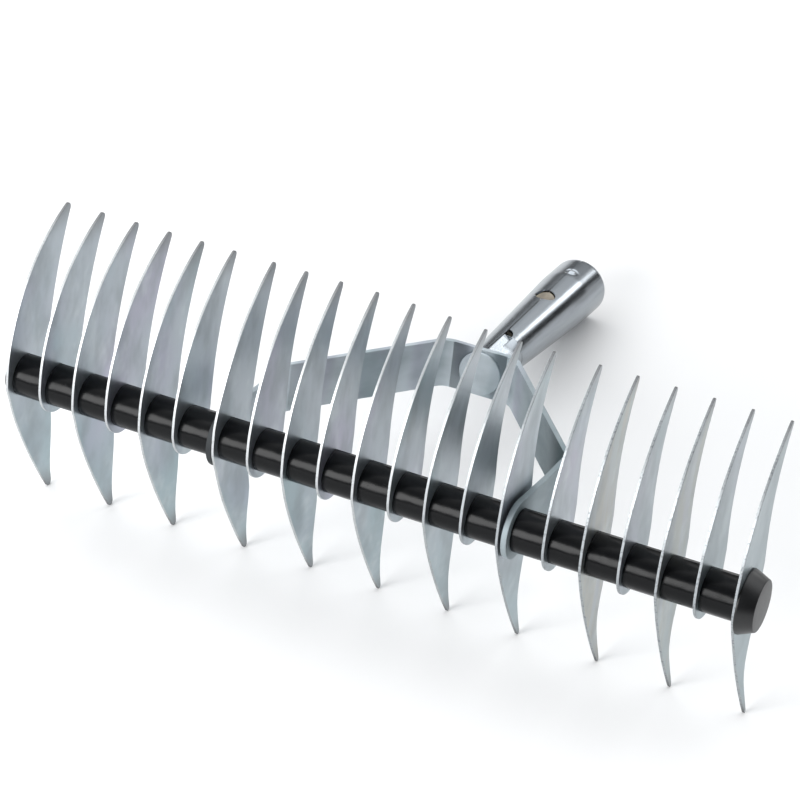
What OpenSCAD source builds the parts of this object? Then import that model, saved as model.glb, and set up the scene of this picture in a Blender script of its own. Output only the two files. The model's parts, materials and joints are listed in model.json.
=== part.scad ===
// Thatch rake head. Crescent blades and spacers are clamped on one axle, and
// the row swings in the two eyes of a bent steel bow that carries the socket
// for a handle. It stands on its short points and on the mouth of the socket.
// Before it is stood up, the axle lies along X through the origin, the handle
// points along +Y and the long points of the blades stand up along +Z.

/* [Blades] */
// Sheet thickness of a blade
blade_t = 1.3; // [0.8:0.1:2.5]
// Radius of a long blade round the front of the axle
hub_r = 14.3; // [13:0.1:17]
// How far the centre of the upper point's rounding lies behind the axle
upper_back = 33; // [24:0.5:42]
// How far the centre of the upper point's rounding lies above the axle
upper_reach = 77; // [65:0.5:90]
// How far the centre of the lower point's rounding lies behind the axle
lower_back = 28.5; // [22:0.5:36]
// How far the centre of the lower point's rounding lies below the axle
lower_reach = 71; // [60:0.5:82]
// Radius of the rounded points
tip_r = 2.5; // [1.5:0.1:4]
// Radius of the bulging front edge above the axle
front_upper_r = 84; // [75:1:110]
// Radius of the bulging front edge below the axle
front_lower_r = 315; // [220:5:450]
// Radius of the hollow rear edge
rear_r = 245; // [200:5:350]
// How far the centre of a short blade's round lower end lies above the axle
heel_up = 2.5; // [0:0.5:6]

/* [Row] */
// Blades outside each eye of the bow
outer_blades = 6; // [4:1:8]
// Blades between the two eyes of the bow
inner_blades = 9; // [7:1:11]
// Length of a spacer
spacer_len = 17.2; // [14:0.1:20]
// Outer diameter of a spacer
spacer_d = 21; // [17:0.5:25]
// Chamfer on the ends of a spacer
spacer_chamfer = 0.6; // [0.2:0.1:1.5]
// Diameter of the axle
axle_d = 8; // [6:0.5:10]
// Radial clearance of blades, spacers, bushes and washers on the axle
axle_fit = 0.1; // [0.05:0.05:0.3]

/* [Ends] */
// Outer diameter of the washer at the right end
washer_d = 16; // [14:0.5:18]
// Thickness of the washer
washer_t = 1.2; // [0.8:0.1:2]
// Width across flats of the thin nut
nut_flats = 13; // [12:0.5:15]
// Thickness of the nut
nut_t = 4; // [3:0.1:5]
// Axle length that stands out of the nut
axle_end = 0.8; // [0.2:0.1:1.5]
// Diameter of the right end cap against the last blade
cap_base_d = 31; // [26:0.2:34]
// Diameter of the outer face of the right end cap
cap_face_d = 24.8; // [20:0.2:26]
// Width of the cylindrical rim at the base of the right end cap
cap_rim = 0.9; // [0.5:0.1:3]
// Rounding of the end caps' outer edges
cap_round = 0.8; // [0.5:0.1:2]
// Wall of the right end cap over the end of the axle
cap_wall = 2; // [1.2:0.1:3]
// Clearance of the end caps round the washer, the nut and the axle
cap_fit = 0.15; // [0.05:0.05:0.4]
// Diameter of the flat push-on cap at the left end
push_cap_d = 20.6; // [16:0.2:24]
// Thickness of the push-on cap
push_cap_t = 3; // [2:0.1:4]
// Wall of the push-on cap over the end of the axle
push_cap_wall = 1; // [0.6:0.1:1.5]

/* [Bow] */
// Width of the bow's strip
bow_w = 26; // [20:0.5:28]
// Thickness of the bow's strip
bow_t = 3; // [2:0.1:4]
// Diameter of the eyes
eye_d = 29; // [28:0.5:34]
// Distance from the axle along which an eye narrows to the strip
eye_neck = 34; // [26:1:40]
// Distance from the axle to the bend beside the left eye
left_reach = 64.5; // [56:0.5:75]
// Distance from the axle to the bend beside the right eye
right_reach = 58.5; // [54:0.5:75]
// Distance from the axle to the front of the plate in the middle
plate_reach = 139; // [125:1:155]
// Length of the plate from the rivet to its left bend
plate_left = 20.5; // [18:0.5:25]
// Length of the plate from the rivet to its right bend
plate_right = 17.5; // [17:0.5:25]
// Radius of the bends beside the eyes, at the middle of the strip
bend_r = 6; // [4:0.5:9]
// Radius of the bends beside the plate, at the middle of the strip
plate_bend_r = 9; // [5:0.5:10]
// Play of the left eye along the axle
eye_play_left = 0.2; // [0.1:0.05:1]
// Play of the right eye along the axle
eye_play_right = 1.4; // [0.2:0.1:2]
// Outer diameter of the bushes that the eyes turn on
bush_d = 12; // [11:0.5:14]
// Radial running clearance of an eye on its bush
pivot_fit = 0.08; // [0.02:0.01:0.1]

/* [Socket] */
// How far the rivet and the socket lie off the middle of the row
handle_side = -3.6; // [-6:0.1:6]
// Diameter of the handle
handle_d = 28; // [24:0.5:32]
// Radial clearance of the socket round the handle
handle_fit = 0.1; // [0.05:0.05:0.3]
// Wall of the socket
socket_wall = 1.4; // [1:0.1:2]
// Length of the socket
socket_len = 127; // [110:1:145]
// Length of the straight stretch at the mouth
mouth_len = 22; // [15:1:30]
// Outer diameter of the socket at the bow
base_d = 20.8; // [20:0.2:24]
// Thickness of the socket's closed end
base_t = 2.5; // [1.5:0.1:4]
// Width of the seam along the top of the socket
seam_w = 0.6; // [0.3:0.1:1]
// Diameter of the locking hole on the seam
lock_d = 11; // [6:0.5:13]
// Distance from the mouth to the locking hole
lock_back = 50; // [40:1:60]
// Length of the three-sided notch beside the seam
notch_len = 9; // [5:0.5:12]
// Width of the notch
notch_w = 5; // [3:0.5:7]
// Distance from the closed end to the notch
notch_up = 24; // [15:1:30]
// Side of the square lock pressed into the seam
clinch_w = 6; // [4:0.5:8]
// Depth of the pressed lock
clinch_depth = 0.5; // [0.2:0.1:0.8]
// Distance from the mouth to the pressed lock
clinch_back = 17; // [12:1:22]

/* [Rivet] */
// Diameter of the rivet's flat head in front of the bow
rivet_head_d = 23; // [18:0.5:25]
// Thickness of the rivet's head
rivet_head_t = 1.6; // [1:0.1:2.5]
// Diameter of the rivet's shank
rivet_d = 10; // [8:0.5:11]
// Diameter of the closing head inside the socket
rivet_tail_d = 15; // [13:0.5:16]
// Thickness of the closing head
rivet_tail_t = 2.2; // [1.5:0.1:3]
// Radial clearance of the rivet in its holes
rivet_fit = 0.1; // [0.05:0.05:0.3]

/* [Hidden] */
zinc = "#b7c1c8";
bright_steel = "#9aa3ab";
black = "#17191c";
cut = 1;
smooth = 96;
arc_error = 0.03;

// Row: blades are counted from the left, and every second one is long
blades = 2*outer_blades + inner_blades;
pitch = blade_t + spacer_len;
left_bush = bow_t + eye_play_left;
right_bush = bow_t + eye_play_right;
stack_len = blades*pitch - spacer_len + left_bush + right_bush;
first_inner = outer_blades + 1;
last_inner = outer_blades + inner_blades;
function is_long(i) = i % 2 == 1;
function blade_x(i) = -stack_len/2 + (i - 1)*pitch
    + (i >= first_inner ? left_bush : 0) + (i > last_inner ? right_bush : 0);
function spacer_x(i) = i < first_inner ? blade_x(i) + blade_t : blade_x(i + 1) - spacer_len;
axle_r = axle_d/2;
bore_r = axle_r + axle_fit;
washer_x = stack_len/2;
nut_x = washer_x + washer_t;
axle_right = nut_x + nut_t + axle_end;
cap_len = axle_right + cap_fit + cap_wall - washer_x;
axle_left = stack_len/2 + push_cap_t - push_cap_wall - cap_fit;
axle_side = (push_cap_t - cap_len)/2;

// Bow: the left eye runs close between a blade and a spacer, the right eye against its spacer
eye_in = stack_len/2 - outer_blades*pitch - bow_t - eye_play_left/2;
eye_mid = eye_in + bow_t/2;
plate_back = plate_reach + bow_t;

// Socket
mouth_in_r = handle_d/2 + handle_fit;
mouth_r = mouth_in_r + socket_wall;
base_r = base_d/2;
base_in_r = base_r - socket_wall;
mouth_y = plate_back + socket_len;
rivet_hole_r = rivet_d/2 + rivet_fit;

// Plane geometry
function unit(v) = v/norm(v);
function left_of(v) = [-v[1], v[0]];
function turn_to(v) = (atan2(v[1], v[0]) + 360) % 360;
function at_angle(a) = [cos(a), sin(a)];
// Points of an arc, as many as keep its chords within arc_error of it
function arc(c, r, from, to) =
    let (n = max(6, ceil(abs(to - from)/(2*acos(1 - arc_error/r)))))
    [for (k = [0 : n]) c + r*at_angle(from + (to - from)*k/n)];
// Point at distance r0 from p0 and r1 from p1, on the left of the way from p0 to p1 or on the right
function meet(p0, r0, p1, r1, side) =
    let (d = norm(p1 - p0), u = unit(p1 - p0), along = (d*d + r0*r0 - r1*r1)/(2*d))
    p0 + along*u + side*sqrt(r0*r0 - along*along)*left_of(u);

// Blade outline in the plane across the axle: each arc runs tangent into the next
hub = [0, 0];
upper_tip = [upper_back, upper_reach];
lower_tip = [lower_back, -lower_reach];
front_upper_c = meet(hub, front_upper_r - hub_r, upper_tip, front_upper_r - tip_r, -1);
front_lower_c = meet(hub, front_lower_r - hub_r, lower_tip, front_lower_r - tip_r, 1);
rear_c = meet(upper_tip, rear_r + tip_r, lower_tip, rear_r + tip_r, 1);
upper_front_a = turn_to(upper_tip - front_upper_c);
upper_rear_a = turn_to(rear_c - upper_tip) - 360;
lower_front_a = turn_to(lower_tip - front_lower_c);
lower_rear_a = turn_to(rear_c - lower_tip) + 360;
hub_upper_a = turn_to(hub - front_upper_c);
hub_lower_a = turn_to(hub - front_lower_c);

// Round lower end of a short blade: it runs tangent into the front edge and into the rear edge, so
// its centre lies on an ellipse round the centres of those two arcs
heel_sum = front_upper_r + rear_r;
heel_k0 = heel_sum/2 + (front_upper_c*front_upper_c - rear_c*rear_c
    + 2*heel_up*(rear_c[1] - front_upper_c[1]))/(2*heel_sum);
heel_k1 = (rear_c[0] - front_upper_c[0])/heel_sum;
heel_p = front_upper_c[0] + heel_k0*heel_k1;
heel_q = front_upper_c[0]^2 + (heel_up - front_upper_c[1])^2 - heel_k0^2;
heel_c = [(heel_p - sqrt(heel_p^2 - (1 - heel_k1^2)*heel_q))/(1 - heel_k1^2), heel_up];
heel_r = front_upper_r - norm(heel_c - front_upper_c);
heel_front_a = turn_to(heel_c - front_upper_c);
heel_rear_a = 360 + atan2(rear_c[1] - heel_c[1], rear_c[0] - heel_c[0]);

// Standing: the head leans back until the short points and the socket's mouth touch the ground
mouth_low = [mouth_y, -mouth_r];
lean_line = mouth_low - lower_tip;
lean = atan2(lean_line[1], lean_line[0]) + asin(tip_r/norm(lean_line));
axle_up = tip_r + lower_back*sin(lean) + lower_reach*cos(lean);
front_end = -max(hub_r, eye_d/2);
back_end = mouth_y*cos(lean) + mouth_r*sin(lean);
axle_forward = -(front_end + back_end)/2;

function two_digits(n) = n < 10 ? str("0", n) : str(n);
function blade_name(i) = str(is_long(i) ? "blade_long_" : "blade_short_", two_digits(i));
function spacer_name(i) = str("spacer_", two_digits(i));

// Puts the head, drawn round its axle, on the ground
module stood_up() {
    translate([axle_side, axle_forward, axle_up]) rotate([-lean, 0, 0]) children();
}

// Turns a shape drawn across the axle so that it is extruded along X from x
module across(x, thick) {
    translate([x, 0, 0]) rotate([90, 0, 90]) linear_extrude(thick) children();
}

// Turns a solid of revolution about Z so that its axis lies along X from x
module on_axle(x) {
    translate([x, 0, 0]) rotate([90, 0, 90]) children();
}

// Turns a solid of revolution about Z so that its axis lies along the handle from y
module on_handle(y) {
    translate([handle_side, y, 0]) rotate([-90, 0, 0]) children();
}

module long_outline() {
    polygon(concat(
        arc(upper_tip, tip_r, upper_rear_a, upper_front_a),
        arc(front_upper_c, front_upper_r, upper_front_a, hub_upper_a),
        arc(hub, hub_r, hub_upper_a, hub_lower_a),
        arc(front_lower_c, front_lower_r, hub_lower_a, lower_front_a),
        arc(lower_tip, tip_r, lower_front_a, lower_rear_a),
        arc(rear_c, rear_r, turn_to(lower_tip - rear_c), turn_to(upper_tip - rear_c))));
}

module short_outline() {
    polygon(concat(
        arc(upper_tip, tip_r, upper_rear_a, upper_front_a),
        arc(front_upper_c, front_upper_r, upper_front_a, heel_front_a),
        arc(heel_c, heel_r, heel_front_a, heel_rear_a),
        arc(rear_c, rear_r, turn_to(heel_c - rear_c), turn_to(upper_tip - rear_c))));
}

module blade(i) {
    color(zinc) stood_up() difference() {
        across(blade_x(i), blade_t) {
            if (is_long(i)) long_outline();
            else short_outline();
        }
        on_axle(blade_x(i) - cut) cylinder(blade_t + 2*cut, r = bore_r, $fn = smooth);
    }
}

module spacer(i) {
    r = spacer_d/2;
    color(black) stood_up() on_axle(spacer_x(i)) rotate_extrude($fn = smooth) polygon([
        [bore_r, 0],
        [r - spacer_chamfer, 0],
        [r, spacer_chamfer],
        [r, spacer_len - spacer_chamfer],
        [r - spacer_chamfer, spacer_len],
        [bore_r, spacer_len]]);
}

module axle() {
    color(bright_steel) stood_up() on_axle(-axle_left)
        cylinder(axle_left + axle_right, r = axle_r, $fn = smooth);
}

// Ring on the axle from x
module ring(x, len, r) {
    on_axle(x) difference() {
        cylinder(len, r = r, $fn = smooth);
        translate([0, 0, -cut]) cylinder(len + 2*cut, r = bore_r, $fn = smooth);
    }
}

module pivot_bushes() {
    color(bright_steel) stood_up() {
        ring(blade_x(first_inner) - left_bush, left_bush, bush_d/2);
        ring(blade_x(last_inner) + blade_t, right_bush, bush_d/2);
    }
}

module axle_washer() {
    color(bright_steel) stood_up() ring(washer_x, washer_t, washer_d/2);
}

function across_corners(flats) = flats/cos(30);

module axle_nut() {
    color(bright_steel) stood_up() on_axle(nut_x) difference() {
        cylinder(nut_t, d = across_corners(nut_flats), $fn = 6);
        translate([0, 0, -cut]) cylinder(nut_t + 2*cut, r = bore_r, $fn = smooth);
    }
}

// Profile of an end cap: corners from its base, then a rounded edge round its face
module cap_profile(corners, face_r, len) {
    polygon(concat(
        [[0, 0]], corners,
        arc([face_r - cap_round, len - cap_round], cap_round, 0, 90),
        [[0, len]]));
}

module end_cap_right() {
    color(black) stood_up() on_axle(stack_len/2) difference() {
        rotate_extrude($fn = smooth) cap_profile(
            [[cap_base_d/2, 0], [cap_base_d/2, cap_rim]], cap_face_d/2, cap_len);
        translate([0, 0, -cut])
            cylinder(washer_t + cap_fit + cut, r = washer_d/2 + cap_fit, $fn = smooth);
        cylinder(washer_t + nut_t + cap_fit, d = across_corners(nut_flats + 2*cap_fit), $fn = 6);
        cylinder(cap_len - cap_wall, r = axle_r + cap_fit, $fn = smooth);
    }
}

// Flat cap that grips the plain end of the axle
module end_cap_left() {
    r = push_cap_d/2;
    color(black) stood_up() mirror([1, 0, 0]) on_axle(stack_len/2) difference() {
        rotate_extrude($fn = smooth) cap_profile([[r, 0]], r, push_cap_t);
        translate([0, 0, -cut])
            cylinder(push_cap_t - push_cap_wall + cut, r = axle_r + cap_fit, $fn = smooth);
    }
}

// One edge of a bent strip: the way along its middle, shifted to the left and rounded at the bends
function strip_edge(way, radii, shift) =
    let (last = len(way) - 1)
    concat(
        [way[0] + shift*left_of(unit(way[1] - way[0]))],
        [for (i = [1 : last - 1])
            let (
                u = unit(way[i] - way[i - 1]),
                v = unit(way[i + 1] - way[i]),
                side = sign(cross(u, v)),
                turn = acos(u*v),
                r = radii[i - 1],
                centre = way[i] - r*tan(turn/2)*u + side*r*left_of(u),
                from = turn_to(-side*left_of(u)))
            each arc(centre, r - side*shift, from, from + side*turn)],
        [way[last] + shift*left_of(unit(way[last] - way[last - 1]))]);

function backwards(list) = [for (i = [len(list) - 1 : -1 : 0]) list[i]];

// Eye outline across the axle, narrowing to the strip along tangents
module eye_outline() {
    corner = [eye_neck, bow_w/2];
    touch = turn_to(corner) + acos(eye_d/2/norm(corner));
    circle(d = eye_d, $fn = smooth);
    polygon([
        eye_d/2*at_angle(touch),
        eye_d/2*at_angle(-touch),
        [corner[0], -corner[1]],
        corner]);
}

module bow() {
    plate_mid = plate_reach + bow_t/2;
    way = [
        [eye_mid, eye_neck],
        [eye_mid, right_reach],
        [handle_side + plate_right, plate_mid],
        [handle_side - plate_left, plate_mid],
        [-eye_mid, left_reach],
        [-eye_mid, eye_neck]];
    radii = [bend_r, plate_bend_r, plate_bend_r, bend_r];
    strip = concat(strip_edge(way, radii, bow_t/2), backwards(strip_edge(way, radii, -bow_t/2)));
    color(zinc) stood_up() difference() {
        union() {
            linear_extrude(bow_w, center = true) polygon(strip);
            across(eye_in, bow_t) eye_outline();
            across(-eye_in - bow_t, bow_t) eye_outline();
        }
        on_axle(-eye_in - bow_t - cut)
            cylinder(2*(eye_in + bow_t + cut), r = bush_d/2 + pivot_fit, $fn = smooth);
        on_handle(plate_reach - cut)
            cylinder(bow_t + 2*cut, r = rivet_hole_r, $fn = smooth);
    }
}

// Cut that opens the socket's top wall over an outline drawn from above, measured from the closed end
module top_cut() {
    translate([handle_side, plate_back, 0]) linear_extrude(mouth_r + cut) children();
}

module socket() {
    taper_end = socket_len - mouth_len;
    lock_y = mouth_y - lock_back;
    color(zinc) stood_up() difference() {
        on_handle(plate_back) rotate_extrude($fn = smooth) polygon([
            [rivet_hole_r, 0],
            [base_r, 0],
            [mouth_r, taper_end],
            [mouth_r, socket_len],
            [mouth_in_r, socket_len],
            [mouth_in_r, taper_end],
            [base_in_r, base_t],
            [rivet_hole_r, base_t]]);
        top_cut() translate([-seam_w/2, base_t])
            square([seam_w, socket_len - base_t + cut]);
        top_cut() polygon([
            [0, notch_up + notch_len],
            [0, notch_up],
            [notch_w, notch_up]]);
        translate([handle_side, lock_y, 0]) cylinder(mouth_r + cut, d = lock_d, $fn = smooth);
        translate([
            handle_side - clinch_w/2,
            mouth_y - clinch_back - clinch_w/2,
            mouth_r - clinch_depth])
            cube([clinch_w, clinch_w, clinch_depth + cut]);
    }
}

module bow_rivet() {
    head_r = rivet_head_d/2;
    edge = rivet_head_t/2;
    grip = bow_t + base_t;
    color(zinc) stood_up() on_handle(plate_reach) rotate_extrude($fn = smooth) polygon(concat(
        [[0, -rivet_head_t]],
        arc([head_r - edge, -rivet_head_t + edge], edge, -90, 0),
        [[head_r, 0], [rivet_d/2, 0], [rivet_d/2, grip]],
        [[rivet_tail_d/2, grip]],
        arc([rivet_tail_d/2 - edge, grip + rivet_tail_t - edge], edge, 0, 90),
        [[0, grip + rivet_tail_t]]));
}

bow();
socket();
bow_rivet();
axle();
pivot_bushes();
axle_washer();
axle_nut();
end_cap_left();
end_cap_right();
for (i = [1 : blades]) blade(i);
for (i = [1 : blades - 1]) spacer(i);
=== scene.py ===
"""Looks of a thatch rake head: zinc-plated blades, bow and socket, black spacers and caps."""

import json
import math

import bmesh
import bpy
from bpy.props import FloatProperty, FloatVectorProperty, IntProperty, PointerProperty
from mathutils import Matrix, Vector


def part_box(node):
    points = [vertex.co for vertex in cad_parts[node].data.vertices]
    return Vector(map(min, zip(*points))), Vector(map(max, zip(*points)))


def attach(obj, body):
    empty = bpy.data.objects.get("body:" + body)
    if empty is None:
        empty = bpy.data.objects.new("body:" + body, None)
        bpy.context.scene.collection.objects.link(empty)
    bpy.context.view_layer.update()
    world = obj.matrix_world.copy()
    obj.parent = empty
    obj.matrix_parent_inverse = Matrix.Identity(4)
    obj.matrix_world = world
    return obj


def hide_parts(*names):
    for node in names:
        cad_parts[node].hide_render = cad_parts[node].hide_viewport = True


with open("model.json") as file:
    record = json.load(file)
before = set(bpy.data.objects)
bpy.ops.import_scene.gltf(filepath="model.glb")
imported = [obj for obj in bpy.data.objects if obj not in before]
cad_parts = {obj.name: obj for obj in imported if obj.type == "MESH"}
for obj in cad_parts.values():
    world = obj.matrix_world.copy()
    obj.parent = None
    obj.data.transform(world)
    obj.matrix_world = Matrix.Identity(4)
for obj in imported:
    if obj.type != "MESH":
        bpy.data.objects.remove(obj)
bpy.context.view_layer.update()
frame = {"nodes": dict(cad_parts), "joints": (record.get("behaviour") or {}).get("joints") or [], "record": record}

bl_info = {
    "name": "Thatch rake head",
    "version": (1, 0, 0),
    "blender": (4, 5, 0),
    "location": "3D View > Sidebar > Rake",
    "description": "Builds the visible pieces of a thatch rake head around its solids",
    "category": "Add Mesh",
}

# The pieces are drawn with the axle along X through the origin, the handle along +Y and the long
# points up, as in the part's source, and STAND then puts them on the ground.
BOW_BODY = "bow_and_socket"
ROW_BODY = "blade_row"
AXLE = Vector(frame["joints"][0]["pos_m"])
HANDLE = next(m for m in frame["record"]["mounts"] if m["name"] == "handle_socket")
LEAN = math.atan2(-HANDLE["axis"][2], HANDLE["axis"][1])
STAND = Matrix.Translation(AXLE) @ Matrix.Rotation(-LEAN, 4, "X")
HANDLE_X, MOUTH_Y, _ = STAND.inverted() @ Vector(HANDLE["pos_m"])
BLADES = sorted((n for n in frame["nodes"] if n.startswith("blade_")), key=lambda n: n[-2:])
SPACERS = sorted(n for n in frame["nodes"] if n.startswith("spacer_"))
STRAW_BLADES = ("blade_long_17", "blade_long_19")
BESIDE_LEFT_EYE = "blade_long_07"
TURN = 2 * math.pi
QUARTER = TURN / 4
# Vertices that are closer than TOUCH, in metres, are one. Edges that are sharper than SHARP break
# the smooth shading, and with FLAT_WEIGHT the largest face at a vertex sets the shading there.
TOUCH = 1e-6
SHARP = math.radians(35)
FLAT_WEIGHT = 100


def span(node):
    """Left and right end of a solid along the axle, and its radius across the axle."""
    low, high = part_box(node)
    return low.x - AXLE.x, high.x - AXLE.x, (high.z - low.z) / 2


def length(name, default, description):
    """A size in metres that the user can change."""
    return FloatProperty(name=name, description=description, default=default, unit="LENGTH",
                         precision=5)


def angle(name, degrees, description):
    """An angle, given in degrees, that the user can change."""
    return FloatProperty(name=name, description=description, default=math.radians(degrees),
                         subtype="ANGLE")


def part(name, default, description):
    """A part of a whole that the user can change."""
    return FloatProperty(name=name, description=description, default=default, subtype="FACTOR")


def colour(name, default, description):
    """A colour that the user can change."""
    return FloatVectorProperty(name=name, description=description, default=default, subtype="COLOR",
                               size=3, min=0.0, max=1.0)


class BladeSizes(bpy.types.PropertyGroup):
    """Outline of the blades, across the axle"""

    hub_radius: length("Hub radius", 0.0143, "Radius of a long blade round the front of the axle")
    upper_back: length("Upper point back", 0.033, "Upper point's rounding behind the axle")
    upper_reach: length("Upper point reach", 0.07697, "Upper point's rounding above the axle")
    lower_back: length("Lower point back", 0.0285, "Lower point's rounding behind the axle")
    lower_reach: length("Lower point reach", 0.07097, "Lower point's rounding below the axle")
    tip_radius: length("Point radius", 0.0025, "Radius of the rounded points")
    front_upper: length("Upper front radius", 0.084, "Radius of the front edge above the axle")
    front_lower: length("Lower front radius", 0.315, "Radius of the front edge below the axle")
    rear: length("Rear radius", 0.245, "Radius of the hollow rear edge")
    heel_up: length("Heel height", 0.0025, "Centre of a short blade's round end above the axle")
    bore: length("Bore radius", 0.0041, "Radius of the hole for the axle")
    edge: length("Edge bevel", 0.0003, "Bevel along the cut edge of the sheet")
    clamp: length("Clamped radius", 0.011, "Distance from the axle where spacers hold a blade flat")
    cut_step: length("Step of cuts", 0.005, "Distance between cuts that let a blade bend smoothly")
    spine: length("Spine", 0.003, "Middle of a blade's width at the axle, in front of it")
    wear_start: length("Wear start", 0.012, "Where a point starts to be dull, before its rounding")
    wear_full: length("Wear full", 0.003, "Where a point is dull all over, beyond its rounding")


class StackSizes(bpy.types.PropertyGroup):
    """How the blades of the used stack stand, which changes smoothly along the row"""

    sway: length("Sway", 0.0015, "Sideways wave of the upper points along the left of the row")
    sway_mean: length("Sway mean", 0.0004, "Middle of that wave, to the right of a straight blade")
    sway_blades: FloatProperty(name="Sway length", description="Blades to one wave", default=10.3)
    sway_first: FloatProperty(name="Sway start", description="Blade at the crest", default=2.4)
    sway_end: part("Sway end", 0.62, "Part of the row where the wave starts to fade")
    sway_fade: part("Sway fade", 0.1, "Part of the row that the fading takes")
    lean_back: length("Lean back", 0.0012, "How far the upper points on the left lean back")
    lean_front: length("Lean forward", 0.0040, "How far the upper points on the right lean forward")
    lean_start: part("Lean start", 0.44, "Part of the row where the lean starts to change")
    lean_change: part("Lean change", 0.24, "Part of the row that the change takes")
    upper_twist: angle("Upper twist", 4.8, "Twist of the upper halves right of the middle")
    twist_start: part("Twist start", 0.05, "Part of the row where the upper twist starts")
    twist_rise: part("Twist rise", 0.4, "Part of the row over which the upper twist grows")
    spread: length("Lower spread", 0.0019, "How far the lower points at both ends go to the right")
    spread_mean: length("Lower middle", -0.0004, "Where the lower points in the middle stand")
    sweep: length("Lower sweep", 0.0018, "Wave of the lower points to the front along the row")
    sweep_mean: length("Sweep mean", -0.0006, "Middle of that wave, in front of a straight blade")
    sweep_rows: FloatProperty(name="Sweep length", description="Rows to one such wave", default=1.2)
    lower_twist: angle("Lower twist", -11.0, "Twist of the lower halves on the left of the row")
    untwist_start: part("Untwist start", 0.3, "Part of the row where this twist starts to fade")
    untwist_fade: part("Untwist fade", 0.65, "Part of the row that this fading takes")
    ground_left: part("Worn left", 0.10, "Part of its width that the first lower point has lost")
    ground_right: part("Worn right", 0.57, "Part of its width that the last lower point has lost")


class SpacerSizes(bpy.types.PropertyGroup):
    """Sizes of the spacers and end caps"""

    bore: length("Bore radius", 0.0041, "Radius of the hole for the axle")
    chamfer: length("Chamfer", 0.0002, "Chamfer on the ends of a spacer")
    seam_wide: length("Mould seam width", 0.0006, "Width of the mould seam along a spacer")
    seam_high: length("Mould seam height", 0.00012, "Height of the mould seam over the spacer")
    seam_turn: angle("Mould seam place", 68.0, "Turn of the upper seam from the back of a spacer")
    seam_sway: angle("Mould seam sway", 3.5, "How far this differs from spacer to spacer")
    cap_rim: length("Cap rim", 0.0009, "Width of the cylindrical rim of the right end cap")
    cap_face: length("Cap face radius", 0.0124, "Radius of the outer face of the right end cap")
    cap_round: length("Cap rounding", 0.0003, "Rounding of the end caps' edges")
    steps: IntProperty(name="Steps", description="Steps round a turned piece", default=96, min=24)


class BowSizes(bpy.types.PropertyGroup):
    """Sizes of the bow and its rivet"""

    width: length("Width", 0.026, "Width of the strip")
    eye_radius: length("Eye radius", 0.0145, "Outer radius of the eyes")
    eye_bore: length("Eye bore", 0.00608, "Radius of the hole in an eye")
    neck: length("Eye neck", 0.034, "Distance from the axle where an eye has narrowed to the strip")
    left_reach: length("Left reach", 0.0645, "Distance from the axle to the left eye's bend")
    right_reach: length("Right reach", 0.0585, "Distance from the axle to the right eye's bend")
    plate_reach: length("Plate reach", 0.139, "Distance from the axle to the front of the plate")
    plate_left: length("Left plate", 0.0205, "Length of the plate from rivet to left bend")
    plate_right: length("Right plate", 0.0175, "Length of the plate from rivet to right bend")
    thick: length("Thickness", 0.003, "Thickness of the strip")
    bend: length("Eye bend radius", 0.006, "Radius of the eyes' bends at the middle of the strip")
    plate_bend: length("Plate bend radius", 0.009, "Radius of the bends beside the plate")
    edge: length("Edge rounding", 0.0005, "Rounding of the strip's edges")
    rivet_radius: length("Rivet radius", 0.0115, "Radius of the rivet's head")
    rivet_high: length("Rivet height", 0.0016, "Thickness of the rivet's head")
    rivet_round: length("Rivet rounding", 0.0006, "Rounding of the rivet's head")
    rivet_shank: length("Rivet shank", 0.005, "Radius of the rivet's shank")
    rivet_grip: length("Rivet grip", 0.0055, "Strip and socket base that the rivet holds together")
    tail_radius: length("Rivet tail radius", 0.0075, "Radius of the closing head")
    tail_high: length("Rivet tail height", 0.0022, "Thickness of the closing head")


class SocketSizes(bpy.types.PropertyGroup):
    """Sizes of the rolled socket, measured from its closed end"""

    long: length("Length", 0.127, "Length of the socket")
    mouth: length("Mouth length", 0.022, "Length of the straight stretch at the mouth")
    base_radius: length("Base radius", 0.0104, "Outer radius at the bow")
    mouth_radius: length("Mouth radius", 0.01549, "Outer radius at the mouth")
    wall: length("Wall", 0.0014, "Thickness of the rolled sheet")
    base_thick: length("Base thickness", 0.0025, "Thickness of the closed end")
    gap: length("Seam gap", 0.0005, "Gap between the two edges of the sheet")
    hole: length("Hole radius", 0.0055, "Radius of the locking hole")
    hole_back: length("Hole from mouth", 0.050, "Distance from the mouth to the locking hole")
    notch_up: length("Notch start", 0.024, "Distance from the closed end to the notch")
    notch_long: length("Notch length", 0.0060, "Length of the notch")
    notch_wide: length("Notch width", 0.0040, "Width of the notch in the right edge of the sheet")
    shift: length("Seam shift", 0.001, "Sideways shift of the seam at the closed end")
    flap: angle("Flap", 31.0, "Half the angle of the sheet that is pressed flat below the notch")
    lock_back: length("Lock from mouth", 0.017, "Distance from the mouth to the pressed lock")
    lock_side: length("Lock beside seam", 0.0012, "Distance from the seam to the lock's middle")
    lock_half: length("Half lock", 0.0026, "Half the side of the pressed lock")
    lock_deep: length("Lock depth", 0.0005, "Depth of the pressed lock")
    edge: length("Edge rounding", 0.0002, "Rounding of the sheet's edges")


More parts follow.
